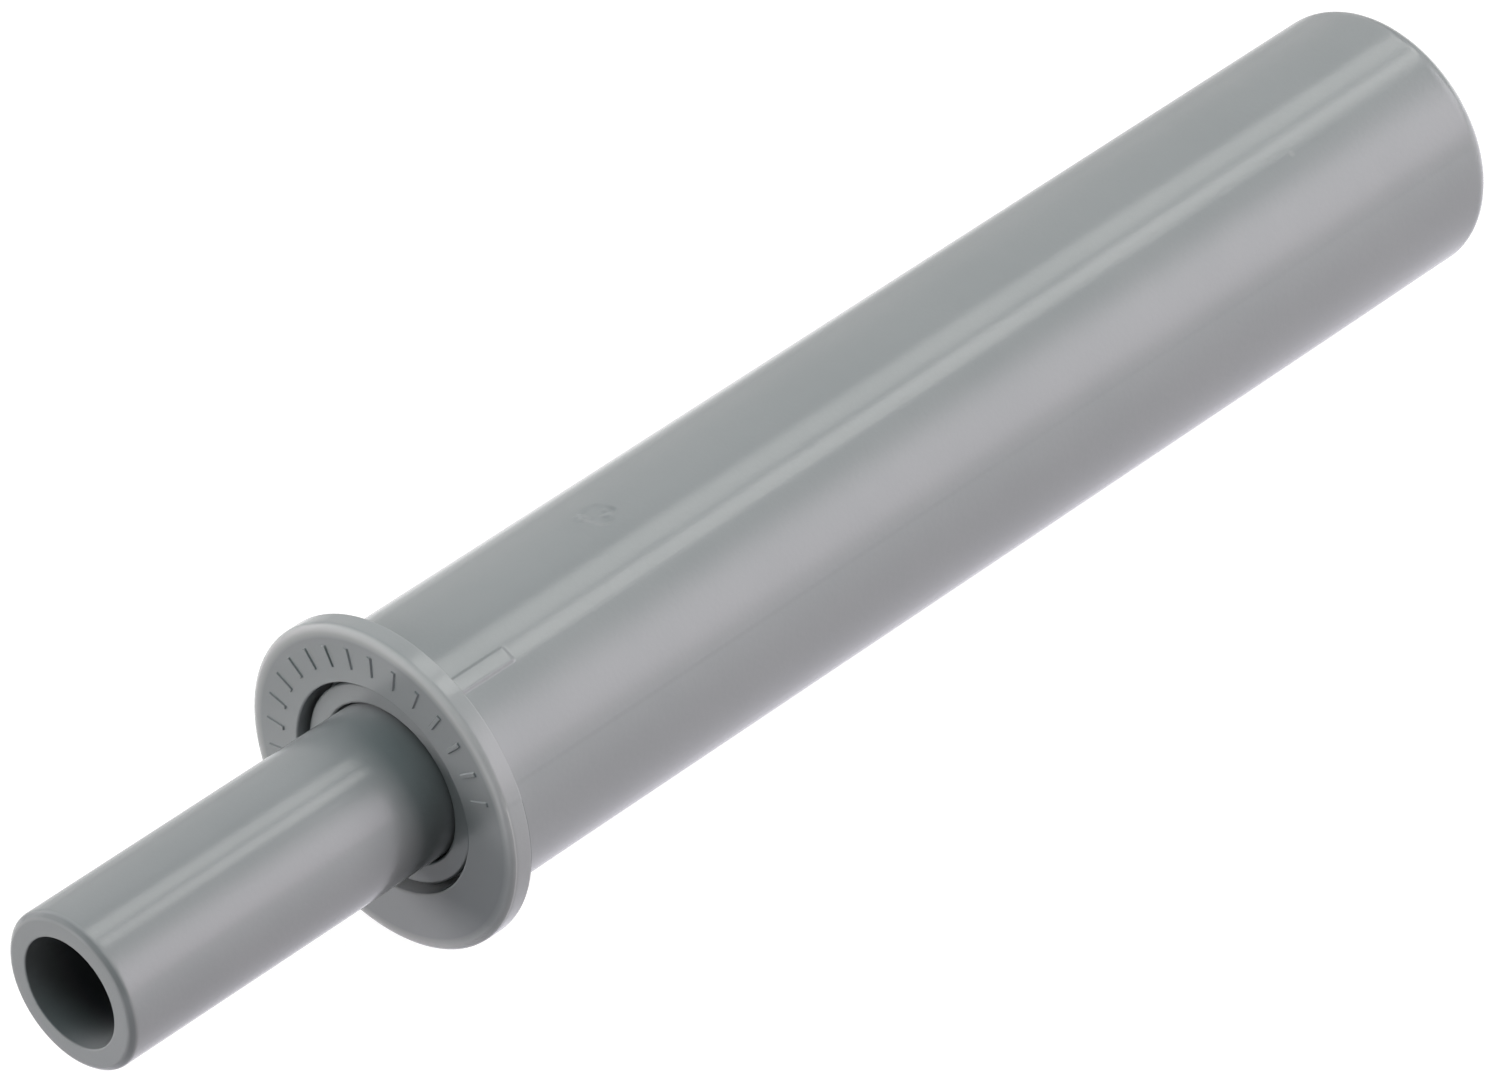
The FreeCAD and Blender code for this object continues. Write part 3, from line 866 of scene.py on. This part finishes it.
def areaLight(name, place, aim, look):
    width, height = look["size"]
    data = bpy.data.lights.new(name, "AREA")
    data.shape = "RECTANGLE"
    data.size, data.size_y = width, height
    data.energy = 4.0 * width * height * look["radiance"]
    data.color = look["colour"]
    if "fades" in look:
        # a softbox is dimmer towards its edges
        atLow, atHigh = look["fades"]
        data.use_nodes = True
        tree = data.node_tree
        across = addNode(tree, "ShaderNodeNewGeometry", -800, 0)
        sides = addNode(tree, "ShaderNodeSeparateXYZ", -600, 0)
        tree.links.new(across.outputs["Parametric"], sides.inputs[0])
        low = rangeNode(tree, -300, 100, sides.outputs["Y"], 0.0, atLow)
        high = rangeNode(tree, -300, -200, sides.outputs["Y"], 1.0 - atHigh, 1.0, 1.0, 0.0)
        tree.links.new(mathNode(tree, "MULTIPLY", 0, 0, low, high), tree.nodes["Emission"].inputs["Strength"])
    lamp = bpy.data.objects.new(name, data)
    lamp.matrix_world = Matrix.Translation(place) @ aim
    lamp.visible_camera = False
    lamp.visible_diffuse = look["seenIn"] == "matt"
    lamp.visible_glossy = look["seenIn"] == "gloss"
    bpy.context.scene.collection.objects.link(lamp)


def axisAim(direction, slant):
    # a panel that faces the object with its width along the object's axis, then turned about its own normal
    run = Vector((0, 1, 0))
    run = (run - run.dot(direction) * direction).normalized()
    run = Matrix.Rotation(math.radians(slant), 3, direction) @ run
    return Matrix((run, direction.cross(run), direction)).transposed().to_4x4()


for name, look in lights.items():
    direction = Vector(look["towards"]).normalized()
    if "slant" in look:
        aim = axisAim(direction, look["slant"])
    else:
        aim = direction.to_track_quat("Z", "Y").to_matrix().to_4x4()
    areaLight(name, target + direction * look["distance"], aim, look)
for name, look in strips.items():
    run, above = Vector(look["run"]).normalized(), Vector((0, 0, 1))
    aim = Matrix((run.cross(above), run, above)).transposed().to_4x4()
    areaLight(name, Vector(look["place"]), aim, look)

floorMesh = bpy.data.meshes.new("floor")
half, z = stageLook["floorSize"], stageLook["floorZ"]
floorMesh.from_pydata([(-half, -half, z), (half, -half, z), (half, half, z), (-half, half, z)], [],
                      [(0, 1, 2, 3)])
floorMaterial, floorTree, floorShader, floorPlace = newMaterial("paleFloor")
floorShader.inputs["Base Color"].default_value = (*stageLook["floorColour"], 1.0)
floorShader.inputs["Roughness"].default_value = stageLook["floorRough"]
# in the gloss the floor is a white card, dimmer on the left and at the ends and a little lilac on the right
floorSides = addNode(floorTree, "ShaderNodeSeparateXYZ", -900, -200)
floorTree.links.new(floorPlace, floorSides.inputs[0])
ends = stageLook["cardEnds"]
left = rangeNode(floorTree, -700, -400, floorSides.outputs["X"], *stageLook["cardEdge"],
                 stageLook["pastCard"], 1.0)
front = rangeNode(floorTree, -700, -600, floorSides.outputs["Y"], *stageLook["cardFront"], ends, 1.0)
rear = rangeNode(floorTree, -700, -800, floorSides.outputs["Y"], *stageLook["cardRear"], 1.0, ends)
middle = rangeNode(floorTree, -700, -1000, floorSides.outputs["X"], *stageLook["cardMiddle"])
onRight = rangeNode(floorTree, -700, -100, floorSides.outputs["X"], *stageLook["tintEdge"])
card = mathNode(floorTree, "MULTIPLY", -500, -600, front, rear)
card = mathNode(floorTree, "MULTIPLY", -300, -600, card, left)
card = mathNode(floorTree, "MAXIMUM", -100, -600, card, middle)
rays = addNode(floorTree, "ShaderNodeLightPath", -500, -300)
cardTint = mathNode(floorTree, "MULTIPLY", -300, -100, onRight, rays.outputs["Is Glossy Ray"])
floorTree.links.new(mixColours(floorTree, -100, -100, cardTint, (1.0, 1.0, 1.0), stageLook["cardTint"]),
                    floorShader.inputs["Emission Color"])
mirrored = mathNode(floorTree, "MULTIPLY", -300, -400, rays.outputs["Is Glossy Ray"],
                    stageLook["floorMirrored"])
mirrored = mathNode(floorTree, "MULTIPLY", -100, -400, mirrored, card)
floorGlow = mathNode(floorTree, "MULTIPLY_ADD", 100, -300, rays.outputs["Is Camera Ray"],
                     stageLook["floorSeen"], mirrored)
floorTree.links.new(floorGlow, floorShader.inputs["Emission Strength"])
floorMesh.materials.append(floorMaterial)
floor = bpy.data.objects.new("floor", floorMesh)
bpy.context.scene.collection.objects.link(floor)

world = bpy.data.worlds.new("softRoom")
world.use_nodes = True
sky = world.node_tree.nodes["Background"]
rays = addNode(world.node_tree, "ShaderNodeLightPath", -500, 0)
skyGlow = mathNode(world.node_tree, "MULTIPLY_ADD", -250, 0, rays.outputs["Is Camera Ray"],
                   stageLook["worldSeen"] - stageLook["worldLight"], stageLook["worldLight"])
world.node_tree.links.new(skyGlow, sky.inputs["Strength"])
sky.inputs["Color"].default_value = (1.0, 1.0, 1.0, 1.0)
bpy.context.scene.world = world
bpy.context.scene.view_settings.view_transform = "Standard"

cameraLook = {
    "eye": (188.691, -184.146, 208.897), "towards": (-0.54619, 0.58138, -0.60305), "roll": -0.481,
    "lens": 246.35, "shift": (0.0020, -0.0028), "sensor": 36.0, "clip": (0.01, 10.0),
}
cameraData = bpy.data.cameras.new("camera")
cameraData.sensor_width = cameraLook["sensor"]
cameraData.lens = cameraLook["lens"]
cameraData.shift_x, cameraData.shift_y = cameraLook["shift"]
cameraData.clip_start, cameraData.clip_end = cameraLook["clip"]
forward = Vector(cameraLook["towards"]).normalized()
level = forward.cross(Vector((0, 0, 1))).normalized()
upright = level.cross(forward)
roll = math.radians(cameraLook["roll"])
right = level * math.cos(roll) + upright * math.sin(roll)
up = upright * math.cos(roll) - level * math.sin(roll)
camera = bpy.data.objects.new("camera", cameraData)
camera.matrix_world = (Matrix.Translation(Vector(cameraLook["eye"]) * mm)
                       @ Matrix((right, up, -forward)).transposed().to_4x4())
bpy.context.scene.collection.objects.link(camera)
bpy.context.scene.camera = camera
print("stage set")
